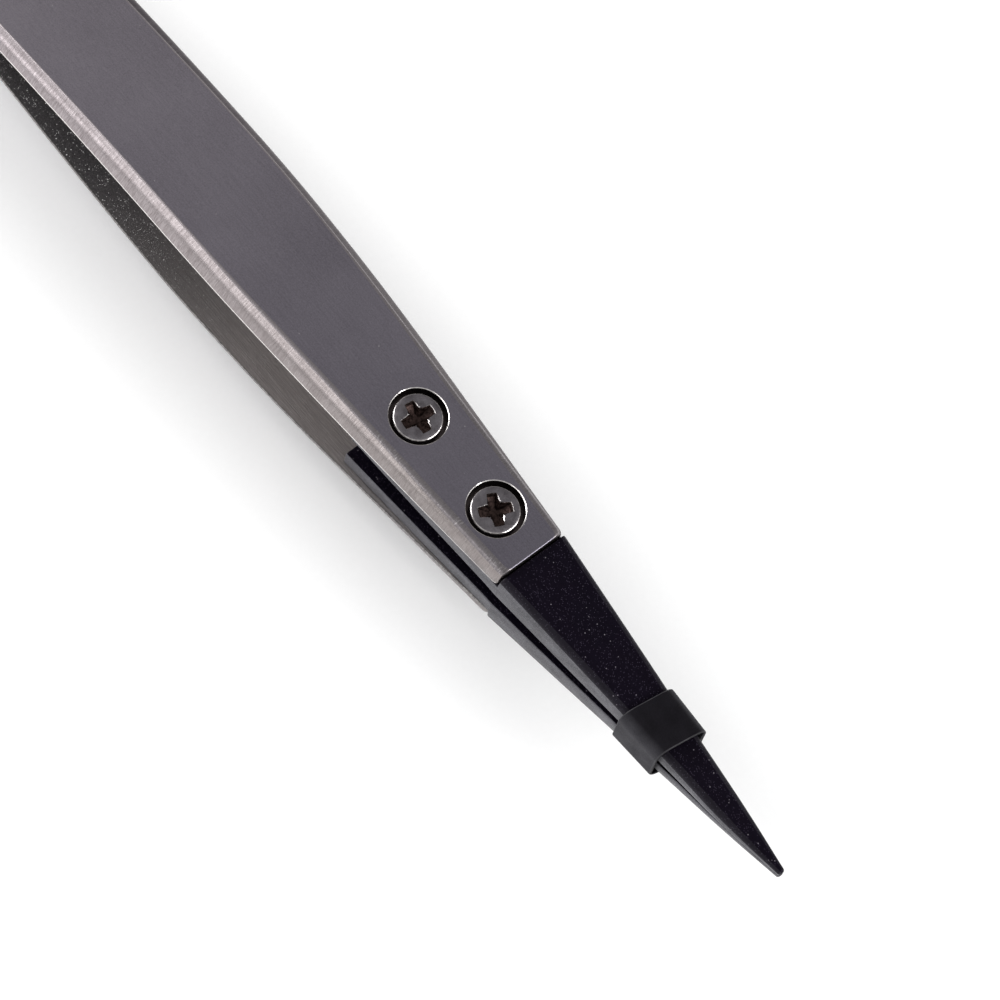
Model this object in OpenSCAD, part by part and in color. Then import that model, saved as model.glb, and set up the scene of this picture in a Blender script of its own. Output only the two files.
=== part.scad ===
// Precision tweezers: two satin steel arms joined at the tail, each carrying a replaceable
// plastic tip held by two screws, with a rubber ring that keeps the tips closed.
// X runs along the tweezers with the points at +X, Y is across, and Z is up. The upper arm
// lies over the lower one, mirrored in the middle plane. The origin is under the middle of
// the length, at the height of the lowest face. Stations are distances behind the points.

/* [Overall] */
// Length from the tail to the points
overall_length = 125; // [122:1:130]

/* [Steel arms] */
// Station of the front end of the steel
arm_end = 26; // [25:0.5:27]
// Height of the arm's inner face above the middle plane at its front end
end_gap = 2.15; // [2.1:0.05:2.3]
// Angle of the straight front stretch to the middle plane, in degrees
front_angle = 2.1; // [2:0.05:2.3]
// Half width of the inner face at the front end
end_half_width = 2.86; // [2.8:0.02:3]
// Half width of the inner face at the grip
grip_half_width = 4.95; // [4.6:0.05:5.2]
// Half width of the inner face at the tail
tail_half_width = 4.3; // [4:0.05:4.6]
// Thickness of the arm at the screws and the grip
front_thickness = 1.5; // [1.4:0.05:1.6]
// Thickness of the arm along its spring and tail
spring_thickness = 1.2; // [1.1:0.05:1.3]
// Width of the side bevel at the front end
end_bevel = 0.4; // [0.2:0.05:0.45]
// Width of the side bevel along the grip
grip_bevel = 1.02; // [0.8:0.02:1.1]

/* [Spring and tail] */
// Station where the inner faces of the arms meet
meet_station = 100; // [99:0.5:102]
// Station about which each arm bends
bend_station = 92; // [91:0.5:93]
// Radial clearance of the rounded arm end in its seat
seat_clearance = 0.03; // [0.02:0.01:0.05]
// Diameter of a spot weld between the arms
weld_d = 2.4; // [2:0.1:3]
// Diameter of the shallow mark that a weld leaves outside
weld_mark_d = 3; // [2.6:0.1:3.4]

/* [Plastic tips] */
// Length of one tip with its tang
tip_length = 40; // [39:0.5:41]
// Length over which the two tips touch
pad_length = 4.5; // [4:0.25:5]
// Half width of the point
point_half_width = 0.25; // [0.2:0.05:0.3]
// Height of the point above the middle plane
point_height = 0.4; // [0.35:0.05:0.45]

/* [Screws] */
// Station of the front screw
screw_station = 29.8; // [29.5:0.1:30]
// Distance between the two screws of one arm
screw_spacing = 8; // [7.8:0.1:8.2]
// Thread diameter
thread_d = 2; // [1.8:0.1:2]
// Head diameter
head_d = 3.4; // [3.2:0.05:3.5]
// Counterbore diameter
counterbore_d = 4; // [3.8:0.05:4.1]
// Counterbore depth
counterbore_depth = 1; // [0.9:0.05:1.05]
// Width across the cross recess
recess_span = 2.2; // [1.8:0.05:2.3]

/* [Ring] */
// Station of the front edge of the ring, in the middle of its width
ring_station = 10.4; // [10.4:0.1:10.6]
// Length of the ring
ring_length = 3.6; // [3.5:0.1:3.9]
// Wall of the ring
ring_wall = 0.25; // [0.25:0.05:0.4]
// Lean of the ring, whose +Y side sits further forward, in degrees
ring_lean = 8; // [0:1:8]

/* [Hidden] */
$fn = 48;

// Colours
steel = [0.38, 0.36, 0.38];
dark_steel = [0.3, 0.29, 0.31];
weld_metal = [0.42, 0.4, 0.4];
black_plastic = [0.1, 0.1, 0.13];
black_rubber = [0.12, 0.12, 0.13];

// Stations along the arm
straight_end = 41;
flat_start = 50;
flat_end = 54;
full_width_station = 60;
full_bevel_station = 46;
thinning_length = 25;
tail_taper_start = 95;
station_step = 1.5;

// Heights of the arm's inner face
front_slope = tan(front_angle);
straight_rise = front_slope * (straight_end - arm_end);
belly_rise = front_slope * (flat_start - straight_end) / 2;
belly_gap = end_gap + straight_rise + belly_rise;
mid_z = belly_gap + front_thickness;

// Rounding of edges and corners
arm_edge = 0.08;
tip_edge = 0.3;
end_corner = 0.4;
tail_corner = 2.2;
corner_steps = 5;

// Seat of the bending place
seat_reach = 0.5;
bend_inner = arm_gap(bend_station);
bend_z = bend_inner + spring_thickness / 2;
knuckle_r = spring_thickness / 2 - 0.1;

// Welds
weld_depth = 0.35;
weld_mark_depth = 0.06;
weld_stations = [for (i = [1 : 3]) meet_station + i * 6];

// Tips: station, half width of the inner face, height of the outer face
shoulder_clearance = 0.05;
blade_end = arm_end - 2 * shoulder_clearance;
touch_gap = 0.01;
tip_draft = 0.08;
tip_sections = [
  [0, point_half_width, point_height],
  [5, 0.97, 0.86],
  [10, 1.42, 1.46],
  [16, 1.97, 2.18],
  [blade_end, 2.84, 3.24]
];
tang_narrowing = 0.5;
tang_side_gap = 0.06;
tang_edge = 0.1;

// Screws
head_sink = 0.1;
head_rim = 0.12;
hole_clearance = 0.1;
thread_clearance = 0.01;
shank_end_gap = 0.06;
recess_width = 0.6;
recess_depth = 0.55;
recess_core_d = 1.3;
recess_tip_d = 0.5;
front_turn = -26;
rear_turn = -7;

// Ring
ring_bore_gap = 0.05;
ring_bore_corner = 0.6;
ring_outer_corner = 1.15;

// Position along X of a station
function along(b) = overall_length / 2 - b;

// Share of the way from a to b, kept between 0 and 1
function share(b, from, to) = min(1, max(0, (b - from) / (to - from)));

// Height of the arm's inner face above the middle plane
function arm_gap(b) =
  b < straight_end ? end_gap + front_slope * (b - arm_end) :
  b < flat_start ? belly_gap - belly_rise * pow(1 - share(b, straight_end, flat_start), 2) :
  belly_gap * (1 + cos(180 * share(b, flat_end, meet_station))) / 2;

// Thickness of the arm, thinned from the grip to the spring
function arm_thickness(b) =
  front_thickness + (spring_thickness - front_thickness)
  * (1 - cos(180 * share(b, flat_end, flat_end + thinning_length))) / 2;

// Loss of half width where a corner of radius r is rounded, at a depth inside the end
function corner_loss(depth, r) = depth >= r ? 0 : r - sqrt(r * r - pow(r - depth, 2));

// Half width of the arm's inner face
function arm_half_width(b) =
  end_half_width + (grip_half_width - end_half_width) * sin(90 * share(b, arm_end, full_width_station))
  - (grip_half_width - tail_half_width) * (1 - cos(90 * share(b, tail_taper_start, overall_length)))
  - corner_loss(b - arm_end, end_corner)
  - corner_loss(overall_length - b, tail_corner);

// Width of the side bevel
function arm_bevel(b) =
  end_bevel + (grip_bevel - end_bevel) * sin(90 * share(b, arm_end, full_bevel_station));

// Stations of a corner of radius r, measured from the end, close together where it is steep
function corner_stations(r) = [for (i = [0 : corner_steps]) r * (1 - cos(90 * i / corner_steps))];

// Height of a tip's inner face above the middle plane
function tip_gap(b) = touch_gap + front_slope * max(0, b - pad_length);

// Smooth curve through the rows of a table: column c of the table at station b
function slope_at(table, c, i) =
  let (a = max(0, i - 1), z = min(len(table) - 1, i + 1))
  (table[z][c] - table[a][c]) / (table[z][0] - table[a][0]);
function row_at(table, b, i = 0) = i + 2 >= len(table) || b <= table[i + 1][0] ? i : row_at(table, b, i + 1);
function curve(table, c, b) =
  let (
    i = row_at(table, b),
    span = table[i + 1][0] - table[i][0],
    t = (b - table[i][0]) / span
  )
  table[i][c] * (1 - t) * (1 - t) * (1 + 2 * t)
  + table[i + 1][c] * t * t * (3 - 2 * t)
  + span * slope_at(table, c, i) * t * pow(1 - t, 2)
  - span * slope_at(table, c, i + 1) * t * t * (1 - t);

// One cross-section: x, inner half width, outer half width, inner height, outer height, edge
function section_ring(s) =
  let (
    side = [s[1] - s[2], s[3] - s[4]],
    down = side / norm(side) * s[5]
  )
  [
    [s[0], -s[1], s[3]],
    [s[0], s[1], s[3]],
    [s[0], s[2] + down[0], s[4] + down[1]],
    [s[0], s[2] - s[5], s[4]],
    [s[0], s[5] - s[2], s[4]],
    [s[0], -s[2] - down[0], s[4] + down[1]]
  ];

// Closed solid through cross-sections given in order of falling x
module loft(sections) {
  sides = 6;
  last = (len(sections) - 1) * sides;
  walls = [
    for (i = [0 : len(sections) - 2])
      for (j = [0 : sides - 1])
        let (a = i * sides + j, b = i * sides + (j + 1) % sides)
        each [[a, b, a + sides], [b, b + sides, a + sides]]
  ];
  front = [[for (j = [0 : sides - 1]) sides - 1 - j]];
  back = [[for (j = [0 : sides - 1]) last + j]];
  polyhedron([for (s = sections) each section_ring(s)], concat(walls, front, back), convexity = 6);
}

// A list of stations from one end to the other in even steps
function even_stations(from, to) =
  let (n = ceil((to - from) / station_step))
  [for (i = [0 : n]) from + (to - from) * i / n];

// Steel strip between stations, with its bevelled sides
module strip(stations) {
  loft([
    for (b = stations)
      [
        along(b),
        arm_half_width(b),
        arm_half_width(b) - arm_bevel(b),
        arm_gap(b),
        arm_gap(b) + arm_thickness(b),
        arm_edge
      ]
  ]);
}

// Children stand on the arm's outer face at a station, square to its straight front stretch
module on_front_face(b) {
  translate([along(b), 0, arm_gap(b) + front_thickness]) rotate([0, front_angle, 0]) children();
}

// Stations of the two screws
module at_screws() {
  for (b = [screw_station, screw_station + screw_spacing]) on_front_face(b) children();
}

// Cylinder across the arm about its bending place
module knuckle(r, length) {
  translate([along(bend_station), 0, bend_z]) rotate([90, 0, 0]) cylinder(r = r, h = length, center = true);
}

// Arm over the middle plane, from its front end to the bending place
module arm() {
  rounded = [for (d = corner_stations(end_corner)) arm_end + d];
  difference() {
    union() {
      strip(concat(rounded, even_stations(arm_end + end_corner + station_step / 2, bend_station)));
      knuckle(knuckle_r, 2 * (arm_half_width(bend_station) - grip_bevel));
    }
    at_screws() {
      translate([0, 0, -counterbore_depth]) cylinder(d = counterbore_d, h = 2 * counterbore_depth);
      translate([0, 0, -2 * front_thickness]) cylinder(d = thread_d + 2 * hole_clearance, h = 3 * front_thickness);
    }
  }
}

// Spring leaf over the middle plane, from the bending place to the tail
module spring_leaf() {
  leaf_start = bend_station + knuckle_r * seat_reach;
  rounded = [for (d = corner_stations(tail_corner)) overall_length - d];
  tail_stations = [for (i = [corner_steps : -1 : 0]) rounded[i]];
  difference() {
    strip(concat(even_stations(leaf_start, overall_length - tail_corner - station_step / 2), tail_stations));
    knuckle(knuckle_r + seat_clearance, 3 * grip_half_width);
    at_welds() cylinder(d = weld_d, h = 2 * weld_depth, center = true);
    translate([0, 0, spring_thickness])
      at_welds() cylinder(d = weld_mark_d, h = 2 * weld_mark_depth, center = true);
  }
}

// Places of the spot welds in the middle plane
module at_welds() {
  for (b = weld_stations) translate([along(b), 0, 0]) children();
}

// Cross-section of the blade in front of the steel
function blade_section(b) =
  let (w = curve(tip_sections, 1, b), h = curve(tip_sections, 2, b))
  [along(b), w, w - tip_draft * share(b, 0, pad_length), tip_gap(b), h, min(tip_edge, h / 3)];

// Cross-section of the tang under the steel
function tang_section(b) =
  let (
    under_arm = arm_half_width(max(b, arm_end + end_corner)),
    w = under_arm - tang_side_gap - tang_narrowing * share(b, arm_end, tip_length)
  )
  [along(b), w, w - tang_edge, tip_gap(b), end_gap + front_slope * (b - arm_end), tang_edge];

// Plastic tip over the middle plane: the blade, a shoulder and the tang
module tip() {
  blade_stations = concat([0, 0.3], even_stations(1, pad_length), even_stations(pad_length + 1, blade_end));
  tang_stations = [blade_end + shoulder_clearance, (arm_end + tip_length) / 2, tip_length];
  difference() {
    loft(concat([for (b = blade_stations) blade_section(b)], [for (b = tang_stations) tang_section(b)]));
    at_screws() translate([0, 0, -4 * front_thickness])
      cylinder(d = thread_d + 2 * thread_clearance, h = 5 * front_thickness);
  }
}

// Screw standing on the arm's outer face, with its cross recess turned by an angle
module screw(b, turn) {
  tang_under = end_gap - touch_gap + front_slope * (pad_length - arm_end);
  grip_length = front_thickness - counterbore_depth + tang_under * cos(front_angle) - shank_end_gap;
  head_body = counterbore_depth - head_sink - head_rim;
  on_front_face(b) difference() {
    union() {
      translate([0, 0, -counterbore_depth]) cylinder(d = head_d, h = head_body);
      translate([0, 0, -head_sink - head_rim]) cylinder(d1 = head_d, d2 = head_d - 2 * head_rim, h = head_rim);
      translate([0, 0, -counterbore_depth - grip_length]) cylinder(d = thread_d, h = grip_length + head_rim);
    }
    translate([0, 0, -head_sink]) rotate([0, 0, turn]) {
      for (a = [0, 90]) rotate([0, 0, a])
        cube([recess_span, recess_width, 2 * recess_depth], center = true);
      translate([0, 0, -recess_depth]) cylinder(d1 = recess_tip_d, d2 = recess_core_d, h = recess_depth + head_sink);
    }
  }
}

// Rounded rectangle, half width by half height
module rounded_rectangle(w, h, r) {
  offset(r = r) square([2 * (w - r), 2 * (h - r)], center = true);
}

// Children in their place over the middle plane, or mirrored under it
module upper() {
  translate([0, 0, mid_z]) children();
}

module lower() {
  translate([0, 0, mid_z]) mirror([0, 0, 1]) children();
}

module upper_arm() {
  color(steel) upper() arm();
}

module lower_arm() {
  color(steel) lower() arm();
}

module upper_spring_leaf() {
  color(steel) upper() spring_leaf();
}

module lower_spring_leaf() {
  color(steel) lower() spring_leaf();
}

module spot_welds() {
  color(weld_metal) upper() at_welds() cylinder(d = weld_d, h = 2 * weld_depth, center = true);
}

module upper_tip() {
  color(black_plastic) upper() tip();
}

module lower_tip() {
  color(black_plastic) lower() tip();
}

module upper_front_screw() {
  color(dark_steel) upper() screw(screw_station, front_turn);
}

module upper_rear_screw() {
  color(dark_steel) upper() screw(screw_station + screw_spacing, rear_turn);
}

module lower_front_screw() {
  color(dark_steel) lower() screw(screw_station, rear_turn);
}

module lower_rear_screw() {
  color(dark_steel) lower() screw(screw_station + screw_spacing, front_turn);
}

// Rubber ring around both tips, leaning forward on one side, with its bore close over them at the
// rearmost corner
module tip_ring() {
  middle = ring_station + ring_length / 2;
  reach = ring_length / 2 + tan(ring_lean) * curve(tip_sections, 1, middle);
  w = curve(tip_sections, 1, middle + reach) + ring_bore_gap;
  h = curve(tip_sections, 2, middle + reach) + ring_bore_gap;
  color(black_rubber) upper() translate([along(middle), 0, 0]) intersection() {
    rotate([90, 0, 90]) linear_extrude(4 * reach, center = true) difference() {
      rounded_rectangle(w + ring_wall, h + ring_wall, ring_outer_corner);
      rounded_rectangle(w, h, ring_bore_corner);
    }
    rotate([0, 0, -ring_lean]) cube([ring_length * cos(ring_lean), 4 * w, 4 * h], center = true);
  }
}

upper_arm();
lower_arm();
upper_spring_leaf();
lower_spring_leaf();
spot_welds();
upper_tip();
lower_tip();
upper_front_screw();
upper_rear_screw();
lower_front_screw();
lower_rear_screw();
tip_ring();
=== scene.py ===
"""Looks of the precision tweezers: two steel strips, four screws, two plastic tips, a rubber ring.

Every mesh is built in millimetres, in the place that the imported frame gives, and scaled to metres
at the end. A station is a distance behind the points, and heights are measured from the middle
plane between the two halves, as the upper half is built first and the lower one mirrors it.
"""

import math

import bmesh
import bpy
from mathutils import Matrix, Vector, noise


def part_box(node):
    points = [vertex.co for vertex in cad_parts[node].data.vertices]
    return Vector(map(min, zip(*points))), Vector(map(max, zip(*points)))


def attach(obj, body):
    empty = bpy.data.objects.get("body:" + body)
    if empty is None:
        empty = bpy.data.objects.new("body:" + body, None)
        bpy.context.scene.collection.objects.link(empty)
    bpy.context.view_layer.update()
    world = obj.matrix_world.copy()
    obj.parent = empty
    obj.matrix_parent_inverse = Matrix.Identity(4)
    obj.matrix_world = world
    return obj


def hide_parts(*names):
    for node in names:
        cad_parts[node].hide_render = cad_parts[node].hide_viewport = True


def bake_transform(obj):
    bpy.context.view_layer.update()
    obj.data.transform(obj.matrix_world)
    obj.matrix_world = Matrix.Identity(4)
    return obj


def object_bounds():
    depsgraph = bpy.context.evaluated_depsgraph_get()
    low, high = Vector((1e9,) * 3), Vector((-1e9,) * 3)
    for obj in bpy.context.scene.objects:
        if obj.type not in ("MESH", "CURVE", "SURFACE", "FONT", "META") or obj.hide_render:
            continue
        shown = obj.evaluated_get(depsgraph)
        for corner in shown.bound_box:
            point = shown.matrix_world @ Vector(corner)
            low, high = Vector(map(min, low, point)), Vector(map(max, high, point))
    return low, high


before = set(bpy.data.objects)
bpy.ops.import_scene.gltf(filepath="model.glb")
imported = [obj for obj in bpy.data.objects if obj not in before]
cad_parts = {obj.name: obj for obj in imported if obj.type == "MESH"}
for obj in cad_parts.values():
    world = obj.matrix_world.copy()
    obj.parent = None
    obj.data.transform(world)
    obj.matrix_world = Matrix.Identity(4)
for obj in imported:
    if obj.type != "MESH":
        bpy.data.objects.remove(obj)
cad_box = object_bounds()

# ---------------------------------------------------------------- sizes, in millimetres

MM = 0.001
HALF_LENGTH = cad_box[1].x / MM
LENGTH = 2 * HALF_LENGTH
MID_Z = (cad_box[0].z + cad_box[1].z) / 2 / MM
ARM_END = HALF_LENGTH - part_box("upper_arm")[1].x / MM
TIP_LENGTH = HALF_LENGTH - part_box("upper_tip")[0].x / MM
RING_REAR = HALF_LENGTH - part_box("tip_ring")[0].x / MM
RING_FRONT = HALF_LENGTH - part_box("tip_ring")[1].x / MM
RING_HALF_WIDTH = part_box("tip_ring")[1].y / MM
FRONT_SCREW = HALF_LENGTH - sum(c.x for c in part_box("upper_front_screw")) / 2 / MM
REAR_SCREW = HALF_LENGTH - sum(c.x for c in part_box("upper_rear_screw")) / 2 / MM
GRIP_HALF_WIDTH = cad_box[1].y / MM
WELD_HEIGHT = (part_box("spot_welds")[1].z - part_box("spot_welds")[0].z) / MM

# Arms
END_GAP = 2.15
FRONT_SLOPE = math.tan(math.radians(2.1))
FRONT_THICKNESS = 1.5
SPRING_THICKNESS = 1.2
END_HALF_WIDTH = 2.86
TAIL_HALF_WIDTH = 4.3
END_BEVEL = 0.4
GRIP_BEVEL = 1.02
STRAIGHT_END = 41
FLAT_START = 50
FLAT_END = 54
FULL_WIDTH_STATION = 60
FULL_BEVEL_STATION = 46
THINNING_LENGTH = 25
TAIL_TAPER_START = 95
MEET_STATION = 100
END_CORNER = 0.4
TAIL_CORNER = 2.2
END_EDGE = 0.09
STATION_STEP = 0.5
INNER_EDGE_RADIUS = 0.11
SOFT_EDGE_RADIUS = 0.52
CRISP_EDGE_RADIUS = 0.18
SOFT_EDGE_START = ARM_END + 6
SOFT_EDGE_END = 58
BEVEL_CROWN = 0.1

# Tips: station, half width of the inner face, height of the outer face
BLADE_END = ARM_END - 0.1
TOUCH_GAP = 0.01
PAD_LENGTH = 4.5
TIP_SECTIONS = [
    (0, 0.25, 0.4),
    (5, 0.97, 0.86),
    (10, 1.42, 1.46),
    (16, 1.97, 2.18),
    (BLADE_END, 2.84, 3.24),
]
TIP_DRAFT = 0.08
TIP_EDGE = 0.42
TIP_CROWN = 0.05
TIP_CROWN_START = 9
TIP_INNER_EDGE = 0.07
NOSE_ROUNDING = 0.17
SHOULDER_ROUNDING = 0.12
TANG_SIDE_GAP = 0.06
TANG_NARROWING = 0.5
TANG_DRAFT = 0.02
TANG_EDGE = 0.1

# Screws
SCREW_TILT = math.radians(2.1)
HEAD_RADIUS = 1.7
HEAD_SINK = 0.1
HEAD_CHAMFER = 0.12
COUNTERBORE_RADIUS = 2.0
COUNTERBORE_DEPTH = 1.0
COUNTERBORE_CHAMFER = 0.05
HOLE_RADIUS = 1.1
THREAD_RADIUS = 1.0
THREAD_DEPTH = 0.2
THREAD_PITCH = 0.4
RECESS_REACH = 1.13
RECESS_DEPTH = 0.62
RECESS_WING = 0.345
RECESS_ROOT = 0.52
RECESS_RIM = 0.045
FRONT_TURN = math.radians(-26)
REAR_TURN = math.radians(-7)

# Welds
WELD_STATIONS = [MEET_STATION + 6 * i for i in (1, 2, 3)]
WELD_RADIUS = 1.2
WELD_MARK_RADIUS = 1.5
WELD_MARK_DEPTH = 0.06

# Ring
RING_WALL = 0.25
RING_LIP = 0.08
RING_LEAN = math.tan(math.radians(8))
RING_TAPER = 0.14
RING_BORE_GAP = 0.05
RING_BORE_CORNER = 0.6
RING_OUTER_CORNER = 1.15


# ---------------------------------------------------------------- shape of the arms and tips

def along(station):
    """Position along X of a station."""
    return HALF_LENGTH - station


def share(value, start, end):
    """Share of the way from start to end, kept between 0 and 1."""
    return min(1.0, max(0.0, (value - start) / (end - start)))


def mix(a, b, t):
    return a + (b - a) * t


BELLY_RISE = FRONT_SLOPE * (FLAT_START - STRAIGHT_END) / 2
BELLY_GAP = END_GAP + FRONT_SLOPE * (STRAIGHT_END - ARM_END) + BELLY_RISE


def arm_gap(b):
    """Height of the arm's inner face above the middle plane."""
    if b < STRAIGHT_END:
        return END_GAP + FRONT_SLOPE * (b - ARM_END)
    if b < FLAT_START:
        return BELLY_GAP - BELLY_RISE * (1 - share(b, STRAIGHT_END, FLAT_START)) ** 2
    return BELLY_GAP * (1 + math.cos(math.pi * share(b, FLAT_END, MEET_STATION))) / 2


def arm_thickness(b):
    thinned = (1 - math.cos(math.pi * share(b, FLAT_END, FLAT_END + THINNING_LENGTH))) / 2
    return mix(FRONT_THICKNESS, SPRING_THICKNESS, thinned)


def corner_loss(depth, radius):
    """Loss of half width where a corner is rounded, at a depth inside the end."""
    return 0.0 if depth >= radius else radius - math.sqrt(radius**2 - (radius - depth) ** 2)


def arm_half_width(b):
    """Half width of the arm's inner face."""
    widening = math.sin(math.pi / 2 * share(b, ARM_END, FULL_WIDTH_STATION))
    narrowing = 1 - math.cos(math.pi / 2 * share(b, TAIL_TAPER_START, LENGTH))
    return (
        mix(END_HALF_WIDTH, GRIP_HALF_WIDTH, widening)
        - (GRIP_HALF_WIDTH - TAIL_HALF_WIDTH) * narrowing
        - corner_loss(b - ARM_END, END_CORNER)
        - corner_loss(LENGTH - b, TAIL_CORNER)
    )


def arm_bevel(b):
    """Width of the ground side bevel."""
    return mix(END_BEVEL, GRIP_BEVEL, math.sin(math.pi / 2 * share(b, ARM_END, FULL_BEVEL_STATION)))


def tip_gap(b):
    """Height of a tip's inner face above the middle plane."""
    return TOUCH_GAP + FRONT_SLOPE * max(0.0, b - PAD_LENGTH)


def tip_curve(column, b):
    """Smooth curve through a column of the tip's sections."""
    rows = TIP_SECTIONS
    i = max(k for k in range(len(rows) - 1) if k == 0 or b > rows[k][0])
    span = rows[i + 1][0] - rows[i][0]
    t = (b - rows[i][0]) / span

    def slope(k):
        a, z = max(0, k - 1), min(len(rows) - 1, k + 1)
        return (rows[z][column] - rows[a][column]) / (rows[z][0] - rows[a][0])

    return (
        rows[i][column] * (1 - t) ** 2 * (1 + 2 * t)
        + rows[i + 1][column] * t * t * (3 - 2 * t)
        + span * slope(i) * t * (1 - t) ** 2
        - span * slope(i + 1) * t * t * (1 - t)
    )


# ---------------------------------------------------------------- cross-sections and lofts

CORNER_STEPS = 6
FACE_PARTS = 6
SIDE_PARTS = 6


def rounded_corner(before, corner, after, radius):
    """Points of an arc in the corner of a polygon that turns to the left."""
    to_before = (before - corner).normalized()
    to_after = (after - corner).normalized()
    half = to_before.angle(to_after) / 2
    centre = corner + (to_before + to_after).normalized() * (radius / math.sin(half))
    first = corner + to_before * (radius / math.tan(half)) - centre
    start = math.atan2(first.y, first.x)
    sweep = math.pi - 2 * half
    turns = [start + sweep * i / CORNER_STEPS for i in range(CORNER_STEPS + 1)]
    return [centre + Vector((math.cos(a), math.sin(a))) * radius for a in turns]


def stretch(a, b, parts, crown):
    """Points between a and b, bulging outwards by the crown."""
    out = Vector((b.y - a.y, a.x - b.x)).normalized()
    shares = [i / parts for i in range(1, parts)]
    return [a.lerp(b, t) + out * (crown * 4 * t * (1 - t)) for t in shares]


def bar_section(inner_half, outer_half, inner_z, outer_z, inner_radius, outer_radius, crown=0.0):
    """Outline of a bar with sloping sides as (y, z), and the name of the face after each point."""
    corners = [
        Vector((-inner_half, inner_z)),
        Vector((inner_half, inner_z)),
        Vector((outer_half, outer_z)),
        Vector((-outer_half, outer_z)),
    ]
    radii = [inner_radius, inner_radius, outer_radius, outer_radius]
    arcs = [
        rounded_corner(corners[i - 1], corners[i], corners[(i + 1) % 4], radii[i]) for i in range(4)
    ]
    outline, names = [], []
    for i, face in enumerate(("inner", "far_side", "outer", "side")):
        edge = "inner_edge" if i < 2 else "outer_edge"
        parts, bulge = (SIDE_PARTS, crown) if "side" in face else (FACE_PARTS, 0.0)
        between = stretch(arcs[i][-1], arcs[(i + 1) % 4][0], parts, bulge)
        outline += arcs[i] + between
        names += [edge] * CORNER_STEPS + [face] * (len(between) + 1)
    return outline, names


def inset_section(inner_half, outer_half, inner_z, outer_z, inset):
    """The four measures of a bar's section with every side moved inwards."""
    height = outer_z - inner_z
    slope = (inner_half - outer_half) / height
    sideways = inset * math.hypot(1, slope)
    return (
        inner_half - slope * inset - sideways,
        outer_half + slope * inset - sideways,
        inner_z + inset,
        outer_z - inset,
    )


def edge_stations(radius, steps=4):
    """Depths inside an end at which a rounded edge of that radius needs a section."""
    return [radius * (1 - math.cos(math.pi / 2 * i / steps)) for i in range(steps + 1)]


def even_stations(start, end, step=STATION_STEP):
    n = math.ceil((end - start) / step)
    return [mix(start, end, i / n) for i in range(n + 1)]


def fill_mesh(name, points, faces, slots, slot_of_face):
    """A mesh from points and faces, with outward normals and one material slot per face name."""
    bm = bmesh.new()
    verts = [bm.verts.new(p) for p in points]
    for face, label in zip(faces, slot_of_face, strict=True):
        made = bm.faces.new([verts[i] for i in face])
        made.material_index = slots.index(label)
        made.smooth = True
    bmesh.ops.recalc_face_normals(bm, faces=bm.faces)
    mesh = bpy.data.meshes.new(name)
    bm.to_mesh(mesh)
    bm.free()
    for label in slots:
        mesh.materials.append(materials[label])
    return mesh


def loft(name, rings, names, slots, slot_of, cap="end"):
    """A closed mesh through rings of points, with the slot that slot_of gives for each face name."""
    sides = len(rings[0])
    points = [p for ring in rings for p in ring]
    faces, labels = [], []
    for i in range(len(rings) - 1):
        for j in range(sides):
            k = (j + 1) % sides
            faces.append((i * sides + j, (i + 1) * sides + j, (i + 1) * sides + k, i * sides + k))
            labels.append(slot_of[names[j]])
    last = (len(rings) - 1) * sides
    faces += [tuple(range(sides)), tuple(last + j for j in reversed(range(sides)))]
    labels += [slot_of[cap]] * 2
    return fill_mesh(name, points, faces, slots, labels)


def revolve(name, rows, slots, segments=64):
    """A closed mesh of rows (radius or function of the angle, height, slot of the band above it)
    from the lowest row to the highest, closed by a point on the axis at each end."""
    angles = [2 * math.pi * i / segments for i in range(segments)]
    points, labels, faces = [Vector((0, 0, rows[0][1]))], [], []
    for radius, z, _ in rows:
        for a in angles:
            r = radius(a, z) if callable(radius) else radius
            points.append(Vector((r * math.cos(a), r * math.sin(a), z)))
    points.append(Vector((0, 0, rows[-1][1])))
    top = len(points) - 1
    for j in range(segments):
        k = (j + 1) % segments
        faces.append((0, 1 + k, 1 + j))
        labels.append(rows[0][2])
        for i in range(len(rows) - 1):
            a, b = 1 + i * segments, 1 + (i + 1) * segments
            faces.append((a + j, a + k, b + k, b + j))
            labels.append(rows[i][2])
        last = 1 + (len(rows) - 1) * segments
        faces.append((last + j, last + k, top))
        labels.append(rows[-1][2])
    return fill_mesh(name, points, faces, slots, labels)


def cut(mesh, cutters):
    """The mesh with the closed cutter meshes taken away, as a new mesh."""
    scene = bpy.context.scene
    body = bpy.data.objects.new("body", mesh)
    scene.collection.objects.link(body)
    tools = []
    for cutter in cutters:
        tool = bpy.data.objects.new("tool", cutter)
        scene.collection.objects.link(tool)
        tools.append(tool)
        modifier = body.modifiers.new("cut", "BOOLEAN")
        modifier.operation = "DIFFERENCE"
        modifier.solver = "EXACT"
        modifier.material_mode = "TRANSFER"
        modifier.object = tool
    bpy.context.view_layer.update()
    depsgraph = bpy.context.evaluated_depsgraph_get()
    made = bpy.data.meshes.new_from_object(body.evaluated_get(depsgraph))
    for o in [body, *tools]:
        bpy.data.objects.remove(o)
    return made


def piece(name, mesh, mirrored=False, sharp_angle=32):
    """The object of a mesh that was built over the middle plane, in its place in the frame."""
    mesh = mesh.copy()
    mesh.name = name
    flip = Matrix.Diagonal((1, 1, -1 if mirrored else 1, 1))
    mesh.transform(Matrix.Scale(MM, 4) @ Matrix.Translation((0, 0, MID_Z)) @ flip)
    if mirrored:
        mesh.flip_normals()
    mesh.shade_smooth()
    mesh.set_sharp_from_angle(angle=math.radians(sharp_angle))
    made = bpy.data.objects.new(name, mesh)
    bpy.context.scene.collection.objects.link(made)
    normals = made.modifiers.new("even_normals", "WEIGHTED_NORMAL")
    normals.keep_sharp = True
    return made


# ---------------------------------------------------------------- node helpers

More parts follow.
